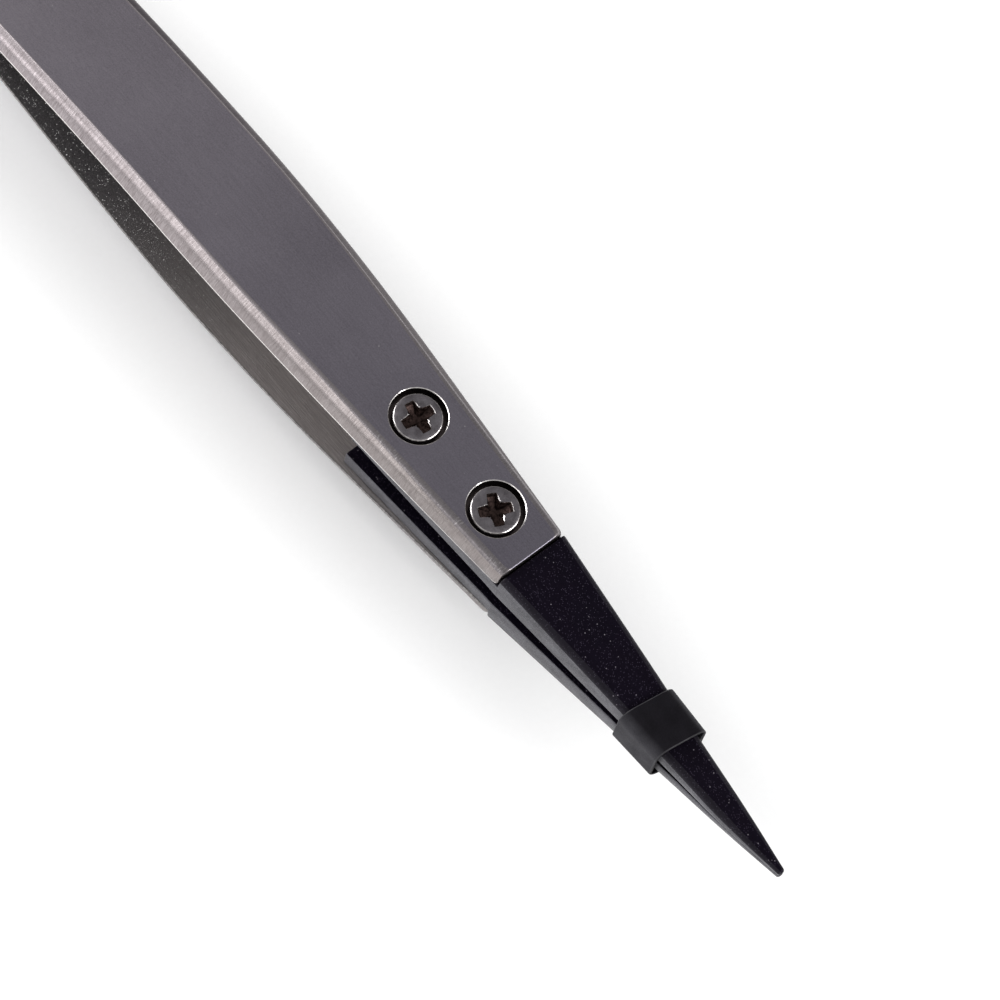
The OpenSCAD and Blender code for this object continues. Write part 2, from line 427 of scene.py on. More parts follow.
def add(tree, kind, inputs=None, output=0, **settings):
    """The output socket of a new node, with its settings made and its inputs set or linked."""
    made = tree.nodes.new(kind)
    for name, value in settings.items():
        setattr(made, name, value)
    for key, value in (inputs or {}).items():
        if isinstance(value, bpy.types.NodeSocket):
            tree.links.new(value, made.inputs[key])
        else:
            made.inputs[key].default_value = value
    return made.outputs[output]


def place_mm(tree, stretch_by=(1, 1, 1)):
    """Object coordinates in millimetres, scaled per axis."""
    place = add(tree, "ShaderNodeTexCoord", output="Object")
    scale = [1 / MM * s for s in stretch_by]
    return add(tree, "ShaderNodeVectorMath", {0: place, 1: scale}, operation="MULTIPLY")


def place_x(tree):
    """Position along X in millimetres."""
    return add(tree, "ShaderNodeSeparateXYZ", {0: place_mm(tree)}, output=0)


def grain(tree, size, stretch_by=(1, 1, 1), detail=2.0, roughness=0.5):
    """Noise from 0 to 1 with features of a size in millimetres."""
    return add(
        tree,
        "ShaderNodeTexNoise",
        {
            "Vector": place_mm(tree, stretch_by),
            "Scale": 1 / size,
            "Detail": detail,
            "Roughness": roughness,
        },
        output="Fac",
    )


def ranged(tree, value, low, high, to_low=0.0, to_high=1.0):
    """A value taken from one range to another, and kept in it."""
    return add(
        tree,
        "ShaderNodeMapRange",
        {"Value": value, "From Min": low, "From Max": high, "To Min": to_low, "To Max": to_high},
    )


def times(tree, a, b):
    return add(tree, "ShaderNodeMath", {0: a, 1: b}, operation="MULTIPLY")


def plus(tree, a, b):
    return add(tree, "ShaderNodeMath", {0: a, 1: b}, operation="ADD")


def blend_colours(tree, factor, first, second):
    """Colour between two colours, each a tuple or a socket."""
    colours = {
        key: value if isinstance(value, bpy.types.NodeSocket) else (*value, 1)
        for key, value in ((6, first), (7, second))
    }
    return add(tree, "ShaderNodeMix", {0: factor, **colours}, output=2, data_type="RGBA")


def bumped(tree, height, depth, strength=1.0, below=None):
    """Normal from a height of 0 to 1 that stands for a depth in millimetres."""
    inputs = {"Height": height, "Distance": depth * MM, "Strength": strength}
    if below is not None:
        inputs["Normal"] = below
    return add(tree, "ShaderNodeBump", inputs)


def specks(tree, size, rarity, seed_shift=0.0):
    """Mask of small round specks: cells of a size in millimetres, of which few are kept."""
    shifted = add(
        tree,
        "ShaderNodeVectorMath",
        {0: place_mm(tree), 1: (seed_shift, 2 * seed_shift, 3 * seed_shift)},
        operation="ADD",
    )
    cells = tree.nodes.new("ShaderNodeTexVoronoi")
    cells.inputs["Scale"].default_value = 1 / size
    tree.links.new(shifted, cells.inputs["Vector"])
    chosen = add(tree, "ShaderNodeSeparateColor", {0: cells.outputs["Color"]}, output=0)
    kept = ranged(tree, chosen, 1 - rarity, 1 - rarity + 0.002)
    core = ranged(tree, cells.outputs["Distance"], 0.38, 0.22)
    return times(tree, kept, core)


def new_material(name, metallic=0.0, **sockets):
    """A material's node tree and Principled shader, with the sockets that are the same all over."""
    made = bpy.data.materials.new(name)
    made.use_nodes = True
    tree = made.node_tree
    shader = next(n for n in tree.nodes if n.type == "BSDF_PRINCIPLED")
    shader.inputs["Metallic"].default_value = metallic
    for key, value in sockets.items():
        shader.inputs[key.replace("_", " ")].default_value = value
    return made, tree, shader


def finish_material(tree, shader, colour, rough, normal):
    tree.links.new(colour, shader.inputs["Base Color"])
    tree.links.new(rough, shader.inputs["Roughness"])
    tree.links.new(normal, shader.inputs["Normal"])


# ---------------------------------------------------------------- materials

def satin_steel():
    """Outer faces: fine matt grain with faint lengthwise brushing, smudges and a few nicks, and
    lighter towards the tail as painted light."""
    made, tree, shader = new_material("satin_steel", metallic=1.0)
    smudge = grain(tree, 9.0, detail=3.0)
    streaks = grain(tree, 0.09, (0.03, 1, 1), detail=3.0)
    fine = grain(tree, 0.1, detail=3.0, roughness=0.7)
    nicks = specks(tree, 0.14, 0.0015)
    # The mask named rubbed is painted light, not wear: it makes the satin lighter towards the tail.
    rubbed = ranged(tree, place_x(tree), along(26), along(88))
    tone = plus(tree, times(tree, smudge, 0.3), times(tree, streaks, 0.2))
    tone = plus(tree, tone, times(tree, fine, 0.5))
    dull = blend_colours(tree, rubbed, (0.118, 0.109, 0.13), (0.182, 0.165, 0.186))
    light = blend_colours(tree, rubbed, (0.203, 0.189, 0.224), (0.328, 0.298, 0.334))
    colour = blend_colours(tree, ranged(tree, tone, 0.36, 0.64), dull, light)
    colour = blend_colours(tree, times(tree, nicks, 0.8), colour, (0.85, 0.82, 0.8))
    rough = ranged(tree, tone, 0.35, 0.65, 0.46, 0.36)
    height = plus(tree, times(tree, fine, 0.7), times(tree, streaks, 0.3))
    finish_material(tree, shader, colour, rough, bumped(tree, height, 0.01))
    return made


def ground_finish(name, front_dull, front_light, rear_dull, rear_light, **sockets):
    """Ground steel: fine marks of the belt across it and slight clouds of wear."""
    made, tree, shader = new_material(name, metallic=1.0, **sockets)
    marks = grain(tree, 0.075, (1, 0.1, 0.1), detail=3.0, roughness=0.7)
    ridges = grain(tree, 0.16, (1, 0.08, 0.08), detail=1.0)
    cloud = grain(tree, 1.4, detail=3.0)
    # This mask carries painted light: the near bevels grow lighter and the far ones darker towards the
    # tail.
    rear = ranged(tree, place_x(tree), along(34), along(74))
    tone = plus(tree, times(tree, marks, 0.75), times(tree, cloud, 0.25))
    dull = blend_colours(tree, rear, front_dull, rear_dull)
    light = blend_colours(tree, rear, front_light, rear_light)
    colour = blend_colours(tree, ranged(tree, tone, 0.33, 0.67), dull, light)
    rough = ranged(tree, tone, 0.3, 0.7, 0.32, 0.25)
    finish_material(tree, shader, colour, rough, bumped(tree, ridges, 0.002))
    return made


def ground_steel():
    """Side bevels: brighter towards the tail as a painted highlight, and browner towards the points.
    """
    return ground_finish(
        "ground_steel",
        front_dull=(0.2, 0.176, 0.172),
        front_light=(0.325, 0.294, 0.288),
        rear_dull=(0.2, 0.172, 0.178),
        # Painted highlight: the lighter tone towards the tail.
        rear_light=(0.46, 0.415, 0.43),
    )


def shaded_far_ground_steel():
    """Bevels on the +Y side: a copy of the ground steel darkened as painted shade, most of all towards
    the tail. darker, as they are rubbed less.
    """
    return ground_finish(
        "shaded_far_ground_steel",
        # Painted shade: these tones and the dimmed specular tint are darker than the near bevels'.
        front_dull=(0.12, 0.112, 0.112),
        front_light=(0.19, 0.18, 0.18),
        rear_dull=(0.045, 0.042, 0.045),
        rear_light=(0.09, 0.084, 0.089),
        Specular_Tint=(0.55, 0.53, 0.54, 1),
    )


def rubbed_steel():
    """Edge between a flat and a bevel: satin by the points, with scattered bright dashes across
    it where it was rubbed, and ground further back."""
    made, tree, shader = new_material("rubbed_steel", metallic=1.0)
    marks = grain(tree, 0.09, (1, 0.25, 0.25), detail=4.0, roughness=0.75)
    patches = grain(tree, 2.2, detail=1.0)
    dashes = times(tree, ranged(tree, marks, 0.56, 0.68), ranged(tree, patches, 0.52, 0.62))
    dashes = times(tree, dashes, ranged(tree, place_x(tree), along(58), along(46)))
    ground = ranged(tree, place_x(tree), along(34), along(60))
    dull = blend_colours(tree, ground, (0.15, 0.136, 0.142), (0.24, 0.214, 0.222))
    light = blend_colours(tree, ground, (0.24, 0.22, 0.228), (0.31, 0.28, 0.292))
    colour = blend_colours(tree, ranged(tree, marks, 0.36, 0.64), dull, light)
    colour = blend_colours(tree, times(tree, dashes, 0.5), colour, (0.8, 0.78, 0.78))
    rough = ranged(tree, marks, 0.3, 0.7, 0.46, 0.32)
    finish_material(tree, shader, colour, rough, bumped(tree, marks, 0.008))
    return made


def edge_finish(name, dull, light, rough_range, depth):
    """Broken edges of a strip, with fine marks across them."""
    made, tree, shader = new_material(name, metallic=1.0)
    marks = grain(tree, 0.12, (1, 0.3, 0.3), detail=3.0)
    colour = blend_colours(tree, ranged(tree, marks, 0.35, 0.65), dull, light)
    rough = ranged(tree, marks, 0.3, 0.7, *rough_range)
    finish_material(tree, shader, colour, rough, bumped(tree, marks, depth))
    return made


def polished_edge():
    """Edges of the upper strip: worn smooth and bright."""
    return edge_finish(
        "polished_edge",
        dull=(0.72, 0.68, 0.66),
        light=(0.95, 0.92, 0.9),
        rough_range=(0.14, 0.24),
        depth=0.004,
    )


def shaded_dull_edge():
    """Edges of the lower strip: satin, a darker copy of the polished edge as painted shade. satin."""
    return edge_finish(
        "shaded_dull_edge",
        dull=(0.16, 0.15, 0.15),
        light=(0.3, 0.285, 0.28),
        rough_range=(0.3, 0.42),
        depth=0.006,
    )


def blasted_steel():
    """Inner faces: dark and grit-blasted along the grip, with painted glints there as white matt
    specks, lighter and brushed lengthwise by the tips."""
    made, tree, shader = new_material("blasted_steel")
    place = place_x(tree)
    blasted = ranged(tree, place, along(50), along(66))
    pits = grain(tree, 0.13, detail=3.0, roughness=0.75)
    brushed = grain(tree, 0.07, (0.03, 1, 1), detail=3.0)
    grains = plus(
        tree,
        times(tree, pits, blasted),
        times(tree, brushed, ranged(tree, place, along(66), along(50))),
    )
    # Painted glints: white matt specks, with the metal turned off, stand in for sparkles of light.
    painted_glints = plus(tree, specks(tree, 0.07, 0.13), specks(tree, 0.12, 0.04, 7.3))
    painted_glints = times(tree, painted_glints, ranged(tree, blasted, 0, 1, 0.08, 1.0))
    dull = blend_colours(tree, blasted, (0.31, 0.285, 0.28), (0.12, 0.113, 0.117))
    light = blend_colours(tree, blasted, (0.46, 0.43, 0.425), (0.23, 0.218, 0.222))
    colour = blend_colours(tree, ranged(tree, grains, 0.35, 0.7), dull, light)
    colour = blend_colours(tree, painted_glints, colour, (0.95, 0.94, 0.92))
    rough = ranged(tree, grains, 0.3, 0.7, 0.5, 0.38)
    tree.links.new(ranged(tree, painted_glints, 0, 1, 1, 0), shader.inputs["Metallic"])
    finish_material(tree, shader, colour, rough, bumped(tree, grains, 0.02))
    return made


def machined_steel():
    """Counterbores: turned by a cutter, and much darker than the face as painted shade in the gap
    around the heads.
    """
    made, tree, shader = new_material("machined_steel", metallic=1.0)
    rings = grain(tree, 0.05, (0.25, 0.25, 1), detail=3.0)
    turned = ranged(tree, rings, 0.3, 0.7)
    # Painted shade: near-black tones for the hollow around each head.
    colour = blend_colours(tree, turned, (0.045, 0.036, 0.036), (0.08, 0.065, 0.065))
    rough = ranged(tree, rings, 0.3, 0.7, 0.24, 0.36)
    finish_material(tree, shader, colour, rough, bumped(tree, rings, 0.004))
    return made


def weld_steel():
    """Fused metal of the spot welds: rippled, with a straw and blue heat tint."""
    made, tree, shader = new_material("weld_steel", metallic=1.0)
    ripple = grain(tree, 0.3, detail=3.0)
    fine = grain(tree, 0.08, detail=2.0)
    tint = ranged(tree, ripple, 0.35, 0.65)
    colour = blend_colours(tree, tint, (0.34, 0.3, 0.26), (0.33, 0.34, 0.4))
    rough = ranged(tree, fine, 0.3, 0.7, 0.3, 0.45)
    finish_material(tree, shader, colour, rough, bumped(tree, ripple, 0.02))
    return made


def screw_nickel():
    """Screw heads: dark nickel, satin, with faint turning marks."""
    made, tree, shader = new_material("screw_nickel", metallic=1.0)
    cloud = grain(tree, 0.7, detail=3.0)
    fine = grain(tree, 0.06, detail=2.0)
    tone = plus(tree, times(tree, cloud, 0.7), times(tree, fine, 0.3))
    worn = ranged(tree, tone, 0.35, 0.65)
    colour = blend_colours(tree, worn, (0.11, 0.1, 0.108), (0.21, 0.195, 0.21))
    rough = ranged(tree, fine, 0.3, 0.7, 0.3, 0.44)
    finish_material(tree, shader, colour, rough, bumped(tree, fine, 0.006))
    return made


def screw_bright():
    """Chamfers of the screws: bright where handling has polished them."""
    made, tree, shader = new_material("screw_bright", metallic=1.0)
    wear = grain(tree, 0.25, detail=3.0)
    bright = ranged(tree, wear, 0.35, 0.6)
    colour = blend_colours(tree, bright, (0.4, 0.375, 0.375), (0.72, 0.69, 0.68))
    rough = ranged(tree, wear, 0.3, 0.7, 0.16, 0.3)
    finish_material(tree, shader, colour, rough, bumped(tree, wear, 0.01))
    return made


def shaded_screw_recess():
    """Inside of the cross recess: nearly black and brownish as painted shade, and dull."""
    made, tree, shader = new_material("shaded_screw_recess", metallic=1.0)
    grime = grain(tree, 0.2, detail=3.0)
    bare = ranged(tree, grime, 0.35, 0.65)
    # Painted shade: near-black tones for the hollow of the recess.
    colour = blend_colours(tree, bare, (0.02, 0.013, 0.012), (0.06, 0.04, 0.036))
    rough = ranged(tree, grime, 0.3, 0.7, 0.4, 0.6)
    finish_material(tree, shader, colour, rough, bumped(tree, grime, 0.02))
    return made


def plastic_finish(name, dark, light, fleck, fleck_share, rough_range, grain_depth, **sockets):
    """Black filled plastic: moulded grain, flow clouds, many faint flecks and a few light fibres."""
    made, tree, shader = new_material(name, **sockets)
    fine = grain(tree, 0.09, detail=3.0, roughness=0.75)
    flow = grain(tree, 0.7, (0.35, 1, 1), detail=3.0)
    faint = specks(tree, 0.085, 0.25, 3.1)
    fibres = specks(tree, 0.14, 0.016)
    tone = plus(tree, times(tree, fine, 0.6), times(tree, flow, 0.4))
    colour = blend_colours(tree, ranged(tree, tone, 0.35, 0.65), dark, light)
    colour = blend_colours(tree, times(tree, faint, fleck_share), colour, fleck)
    colour = blend_colours(tree, times(tree, fibres, 0.5), colour, (0.24, 0.22, 0.25))
    rough = ranged(tree, tone, 0.3, 0.7, *rough_range)
    finish_material(tree, shader, colour, rough, bumped(tree, fine, grain_depth))
    return made


def antistatic_plastic():
    """Broad faces of the tips: smooth and nearly black, with a violet cast."""
    return plastic_finish(
        "antistatic_plastic",
        dark=(0.0008, 0.0004, 0.0018),
        light=(0.0028, 0.002, 0.0048),
        fleck=(0.08, 0.067, 0.1),
        fleck_share=0.45,
        rough_range=(0.52, 0.4),
        grain_depth=0.014,
        Specular_IOR_Level=0.075,
        Specular_Tint=(0.86, 0.7, 1.0, 1),
    )


def lit_moulded_plastic():
    """Narrow sides of the tips: greyer than the broad faces as painted light, with a coarser grain
    from the mould.
    """
    return plastic_finish(
        "lit_moulded_plastic",
        # Painted light: the sides' tones are far lighter than the broad faces'.
        dark=(0.016, 0.015, 0.019),
        light=(0.1, 0.099, 0.112),
        fleck=(0.26, 0.26, 0.29),
        fleck_share=0.5,
        rough_range=(0.5, 0.36),
        grain_depth=0.03,
        Specular_IOR_Level=0.5,
        Specular_Tint=(0.96, 0.94, 1.0, 1),
    )


def half_lit_softened_plastic():
    """Rounded edges between the broad faces and the sides of the tips, with tones between the two as
    painted light.
    """
    return plastic_finish(
        "half_lit_softened_plastic",
        # Painted light: a step lighter than the broad faces.
        dark=(0.002, 0.0015, 0.003),
        light=(0.008, 0.007, 0.0105),
        fleck=(0.07, 0.064, 0.085),
        fleck_share=0.5,
        rough_range=(0.52, 0.4),
        grain_depth=0.02,
        Specular_IOR_Level=0.17,
        Specular_Tint=(0.92, 0.84, 1.0, 1),
    )


def rubber_finish(name, dark, light, **sockets):
    """Black rubber with a grain of dust, and greyer on its +Y and -Y flanks as painted light."""
    made, tree, shader = new_material(name, **sockets)
    fine = grain(tree, 0.09, detail=3.0, roughness=0.75)
    dust = grain(tree, 1.2, detail=3.0)
    facing = add(tree, "ShaderNodeTexCoord", output="Normal")
    sideways = add(tree, "ShaderNodeSeparateXYZ", {0: facing}, output=1)
    flanks = ranged(tree, add(tree, "ShaderNodeMath", {0: sideways}, operation="ABSOLUTE"), 0.45, 1)
    tone = plus(tree, times(tree, fine, 0.5), times(tree, dust, 0.5))
    colour = blend_colours(tree, ranged(tree, tone, 0.35, 0.68), dark, light)
    # Painted light: faces that turn towards +Y or -Y get a greyer colour.
    flank_mottle = ranged(tree, tone, 0.3, 0.7)
    lit_flank_colour = blend_colours(tree, flank_mottle, (0.02, 0.0195, 0.023), (0.05, 0.049, 0.055))
    colour = blend_colours(tree, flanks, colour, lit_flank_colour)
    rough = ranged(tree, tone, 0.3, 0.7, 0.7, 0.56)
    finish_material(tree, shader, colour, rough, bumped(tree, fine, 0.02))
    return made


def ring_rubber():
    """Inside and outside of the ring: matt and nearly black."""
    return rubber_finish(
        "ring_rubber",
        dark=(0.001, 0.0009, 0.0015),
        light=(0.005, 0.0045, 0.0062),
        Specular_IOR_Level=0.11,
        Specular_Tint=(0.95, 0.88, 1.0, 1),
    )


def lit_cut_rubber():
    """Cut ends of the ring: greyer, a painted highlight along the rims. a little greyer and dustier.
    """
    return rubber_finish(
        "lit_cut_rubber",
        # Painted highlight: lighter tones than the ring's body.
        dark=(0.006, 0.0055, 0.007),
        light=(0.032, 0.03, 0.035),
        Specular_IOR_Level=0.3,
    )


def floor_paper():
    """Floor: pale matt paper with a barely visible tooth."""
    made, tree, shader = new_material("floor_paper", Specular_IOR_Level=0.1)
    tooth = grain(tree, 0.4, detail=2.0)
    raised = ranged(tree, tooth, 0.3, 0.7)
    colour = blend_colours(tree, raised, (0.915, 0.915, 0.915), (0.925, 0.925, 0.925))
    rough = ranged(tree, tooth, 0.3, 0.7, 0.9, 0.8)
    finish_material(tree, shader, colour, rough, bumped(tree, tooth, 0.002))
    return made


materials = {
    "satin": satin_steel(),
    "ground": ground_steel(),
    "shaded_far_ground": shaded_far_ground_steel(),
    "rubbed": rubbed_steel(),
    "edge": polished_edge(),
    "shaded_dull_edge": shaded_dull_edge(),
    "blasted": blasted_steel(),
    "machined": machined_steel(),
    "weld": weld_steel(),
    "nickel": screw_nickel(),
    "bright": screw_bright(),
    "recess": shaded_screw_recess(),
    "plastic": antistatic_plastic(),
    "moulded": lit_moulded_plastic(),
    "half_lit_softened": half_lit_softened_plastic(),
    "rubber": ring_rubber(),
    "lit_rubber_edge": lit_cut_rubber(),
    "floor": floor_paper(),
}


# ---------------------------------------------------------------- steel strips

STRIP_SLOTS = ["satin", "ground", "shaded_far_ground", "rubbed", "edge", "blasted", "machined", "weld"]
STRIP_FACES = {
    "inner": "blasted",
    "inner_edge": "edge",
    "side": "ground",
    "far_side": "shaded_far_ground",
    "outer_edge": "rubbed",
    "outer": "satin",
    "end": "ground",
}


def strip_ring(b):
    """One cross-section of an arm, its edges rounded and drawn in at both ends."""
    half = arm_half_width(b)
    inset = corner_loss(min(b - ARM_END, LENGTH - b), END_EDGE)
    measures = inset_section(
        half, half - arm_bevel(b), arm_gap(b), arm_gap(b) + arm_thickness(b), inset
    )
    soft = mix(SOFT_EDGE_RADIUS, CRISP_EDGE_RADIUS, share(b, SOFT_EDGE_START, SOFT_EDGE_END))
    outline, names = bar_section(*measures, INNER_EDGE_RADIUS, soft, BEVEL_CROWN)
    return [Vector((along(b), p.x, p.y)) for p in outline], names


def strip_stations():
    """Stations along an arm, close together where its ends are rounded."""
    front = sorted(set(edge_stations(END_EDGE) + edge_stations(END_CORNER)))
    rear = sorted(set(edge_stations(END_EDGE) + edge_stations(TAIL_CORNER, 10)))
    middle = even_stations(ARM_END + front[-1] + STATION_STEP, LENGTH - rear[-1] - STATION_STEP)
    return [ARM_END + d for d in front] + middle + [LENGTH - d for d in reversed(rear)]


def on_front_face(b):
    """Matrix of a place on the arm's outer face, square to its straight front stretch."""
    place = Matrix.Translation((along(b), 0, arm_gap(b) + FRONT_THICKNESS))
    return place @ Matrix.Rotation(SCREW_TILT, 4, "Y")


def counterbore_cutter():
    """Counterbore with a chamfered rim, over the through hole of its screw."""
    flare = 0.4
    rows = [
        (HOLE_RADIUS, -3.0, "machined"),
        (HOLE_RADIUS, -COUNTERBORE_DEPTH, "machined"),
        (COUNTERBORE_RADIUS, -COUNTERBORE_DEPTH, "machined"),
        (COUNTERBORE_RADIUS, -COUNTERBORE_CHAMFER, "edge"),
        (COUNTERBORE_RADIUS + COUNTERBORE_CHAMFER + flare, flare, "machined"),
    ]
    return revolve("counterbore", rows, STRIP_SLOTS, segments=96)


def weld_cutters(b):
    """Pocket of a spot weld in the inner face, and the shallow mark that it leaves outside."""
    pocket = WELD_HEIGHT / 2
    top = arm_gap(b) + SPRING_THICKNESS
    rows = [(WELD_RADIUS, -0.5, "weld"), (WELD_RADIUS, pocket, "weld")]
    mark = [
        (0.35 * WELD_MARK_RADIUS, top - WELD_MARK_DEPTH, "weld"),
        (0.8 * WELD_MARK_RADIUS, top - 0.8 * WELD_MARK_DEPTH, "weld"),
        (WELD_MARK_RADIUS, top, "weld"),
        (1.2 * WELD_MARK_RADIUS, top + WELD_MARK_DEPTH, "weld"),
    ]
    place = Matrix.Translation((along(b), 0, 0))
    made = [
        revolve("weld_pocket", rows, STRIP_SLOTS, segments=48),
        revolve("weld_mark", mark, STRIP_SLOTS, segments=64),
    ]
    for mesh in made:
        mesh.transform(place)
    return made


def strip_mesh():
    rings = [strip_ring(b) for b in strip_stations()]
    bar = loft("strip", [r[0] for r in rings], rings[0][1], STRIP_SLOTS, STRIP_FACES)
    cutters = []
    for b in (FRONT_SCREW, REAR_SCREW):
        cutter = counterbore_cutter()
        cutter.transform(on_front_face(b))
        cutters.append(cutter)
    for b in WELD_STATIONS:
        cutters += weld_cutters(b)
    return cut(bar, cutters)


def build_strips():
    """Both strips from one mesh, the lower one mirrored, each in place of its imported arm and spring
    leaf.
    """
    mesh = strip_mesh()
    for half in ("upper", "lower"):
        strip = piece(f"{half}_strip", mesh, mirrored=half == "lower")
        if half == "lower":
            # The lower strip's edges get the darker copy of the edge finish: painted shade.
            strip.data.materials[STRIP_SLOTS.index("edge")] = materials["shaded_dull_edge"]
        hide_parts(f"{half}_arm", f"{half}_spring_leaf")
        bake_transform(strip)


# ---------------------------------------------------------------- screws

SCREW_SLOTS = ["nickel", "bright", "recess"]


def thread_radius(angle, z):
    """Radius of the helical thread at an angle and height."""
    phase = (z / THREAD_PITCH - angle / (2 * math.pi)) % 1
    return THREAD_RADIUS - THREAD_DEPTH * abs(2 * phase - 1)


def screw_length():
    """From the head's underside to the end of the shank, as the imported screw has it."""
    low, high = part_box("upper_front_screw")
    return (high.z - low.z) / MM - (COUNTERBORE_DEPTH - HEAD_SINK) - HEAD_RADIUS * math.sin(SCREW_TILT)


def recess_outline(grow, scale=1.0):
    """Outline of the cross recess: four wings with rounded roots, worn unevenly at the rim."""
    wing_half, root = RECESS_WING * scale, RECESS_ROOT * scale
    reach = RECESS_REACH * scale
    points = []
    for quarter in range(4):
        turn = Matrix.Rotation(quarter * math.pi / 2, 2)
        tip = wing_half * 0.93
        arm = [
            Vector((root * 1.02, -wing_half * 1.25)),
            Vector((root * 1.25, -wing_half * 1.08)),
            Vector((reach * 0.8, -wing_half)),
            Vector((reach, -tip)),
            Vector((reach * 1.02, 0)),
            Vector((reach, tip)),
            Vector((reach * 0.8, wing_half)),
            Vector((root * 1.25, wing_half * 1.08)),
            Vector((root * 1.02, wing_half * 1.25)),
            Vector((root * 0.8, root * 0.8)),
        ]
        points += [turn @ p for p in arm]
    if not grow:
        return points
    grown = []
    for i, p in enumerate(points):
        along_edge = points[(i + 1) % len(points)] - points[i - 1]
        out = Vector((along_edge.y, -along_edge.x)).normalized()
        wear = 0.5 + 1.6 * abs(noise.noise(Vector((3.1 * p.x, 3.1 * p.y, 0.7))))
        grown.append(p + out * grow * wear)
    return grown


def recess_cutter():
    """Tapering cross recess with a worn rim, its top just above the head's face at height 0."""
    layers = [
        (recess_outline(0, 0.42), -RECESS_DEPTH),
        (recess_outline(0, 0.9), -0.5 * RECESS_DEPTH),
        (recess_outline(0), -RECESS_RIM),
        (recess_outline(RECESS_RIM), 0.0),
        (recess_outline(3 * RECESS_RIM), 2 * RECESS_RIM),
    ]
    rings = [[Vector((p.x, p.y, z)) for p in outline] for outline, z in layers]
    names = ["wall"] * len(rings[0])
    cutter = loft("recess", rings, names, SCREW_SLOTS, {"wall": "recess", "end": "recess"})
    sides = len(rings[0])
    for polygon in list(cutter.polygons)[2 * sides : 4 * sides]:
        polygon.material_index = SCREW_SLOTS.index("bright")
    return cutter


def screw_mesh(b, turn):
    """Machine screw on the arm's outer face: helical thread, chamfered head and cross recess."""
    under = -COUNTERBORE_DEPTH
    top = -HEAD_SINK
    end = under - screw_length()
    core = THREAD_RADIUS - THREAD_DEPTH
    rows = [(0.6, end, "nickel")]
    for z in even_stations(end + 0.15, under - 0.25, THREAD_PITCH / 10):
        rows.append((thread_radius, z, "nickel"))
    rows += [
        (core, under - 0.1, "nickel"),
        (core, under, "nickel"),
        (HEAD_RADIUS - 0.05, under, "nickel"),
        (HEAD_RADIUS, under + 0.05, "nickel"),
        (HEAD_RADIUS, top - HEAD_CHAMFER, "bright"),
        (HEAD_RADIUS - 0.4 * HEAD_CHAMFER, top - 0.5 * HEAD_CHAMFER, "bright"),
        (HEAD_RADIUS - 0.8 * HEAD_CHAMFER, top - 0.25 * HEAD_CHAMFER, "nickel"),
        (HEAD_RADIUS - 3 * HEAD_CHAMFER, top, "nickel"),
        (0.72 * HEAD_RADIUS, top, "nickel"),
    ]
    cutter = recess_cutter()
    cutter.transform(Matrix.Translation((0, 0, top)) @ Matrix.Rotation(turn, 4, "Z"))
    made = cut(revolve("screw", rows, SCREW_SLOTS, segments=72), [cutter])
    made.transform(on_front_face(b))
    return made


def build_screws():
    turns = {
        "upper_front": FRONT_TURN,
        "upper_rear": REAR_TURN,
        "lower_front": REAR_TURN,
        "lower_rear": FRONT_TURN,
    }
    for name, turn in turns.items():
        half, place = name.split("_")
        b = FRONT_SCREW if place == "front" else REAR_SCREW
        mesh = screw_mesh(b, turn)
        screw = piece(f"{name}_machine_screw", mesh, mirrored=half == "lower")
        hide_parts(f"{name}_screw")
        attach(screw, f"{half}_jaw")


# ---------------------------------------------------------------- plastic tips

# The moulded slot is the lit copy of the plastic, painted light; the softened slot lies between it and
# the broad faces.
TIP_SLOTS = ["plastic", "half_lit_softened", "moulded"]
TIP_FACES = {
    "inner": "plastic",
    "inner_edge": "moulded",
    "side": "moulded",
    "far_side": "moulded",
    "outer_edge": "half_lit_softened",
    "outer": "plastic",
    "end": "moulded",
}


def blade_ring(b):
    """Cross-section of the pointed blade in front of the steel."""
    half = tip_curve(1, b)
    height = tip_curve(2, b) - corner_loss(BLADE_END - b, SHOULDER_ROUNDING)
    draft = TIP_DRAFT * share(b, 0, PAD_LENGTH)
    measures = inset_section(half, half - draft, tip_gap(b), height, corner_loss(b, NOSE_ROUNDING))
    room = min(measures[0], (measures[3] - measures[2]) / 2)
    inner_radius = min(TIP_INNER_EDGE, 0.4 * room)
    outer_radius = min(TIP_EDGE, 0.9 * room)
    crown = TIP_CROWN * share(b, 0, TIP_CROWN_START)
    outline, names = bar_section(*measures, inner_radius, outer_radius, crown)
    return [Vector((along(b), p.x, p.y)) for p in outline], names


def tang_ring(b):
    """Cross-section of the tang that lies under the steel."""
    under_arm = arm_half_width(max(b, ARM_END + END_CORNER))
    half = under_arm - TANG_SIDE_GAP - TANG_NARROWING * share(b, ARM_END, TIP_LENGTH)
    top = END_GAP + FRONT_SLOPE * (b - ARM_END)
    inset = corner_loss(TIP_LENGTH - b, TANG_EDGE)
    measures = inset_section(half, half - TANG_DRAFT, tip_gap(b), top, inset)
    outline, names = bar_section(*measures, TIP_INNER_EDGE, TANG_EDGE)
    return [Vector((along(b), p.x, p.y)) for p in outline], names


def tip_mesh():
    nose = edge_stations(NOSE_ROUNDING)
    shoulder = [BLADE_END - d for d in reversed(edge_stations(SHOULDER_ROUNDING))]
    blade = nose + even_stations(nose[-1] + 0.2, shoulder[0] - 0.2) + shoulder
    end = [TIP_LENGTH - d for d in reversed(edge_stations(TANG_EDGE))]
    tang = even_stations(ARM_END - 0.05, end[0] - 0.2, 1.0) + end
    rings = [blade_ring(b) for b in blade] + [tang_ring(b) for b in tang]
    return loft("tip", [r[0] for r in rings], rings[0][1], TIP_SLOTS, TIP_FACES)


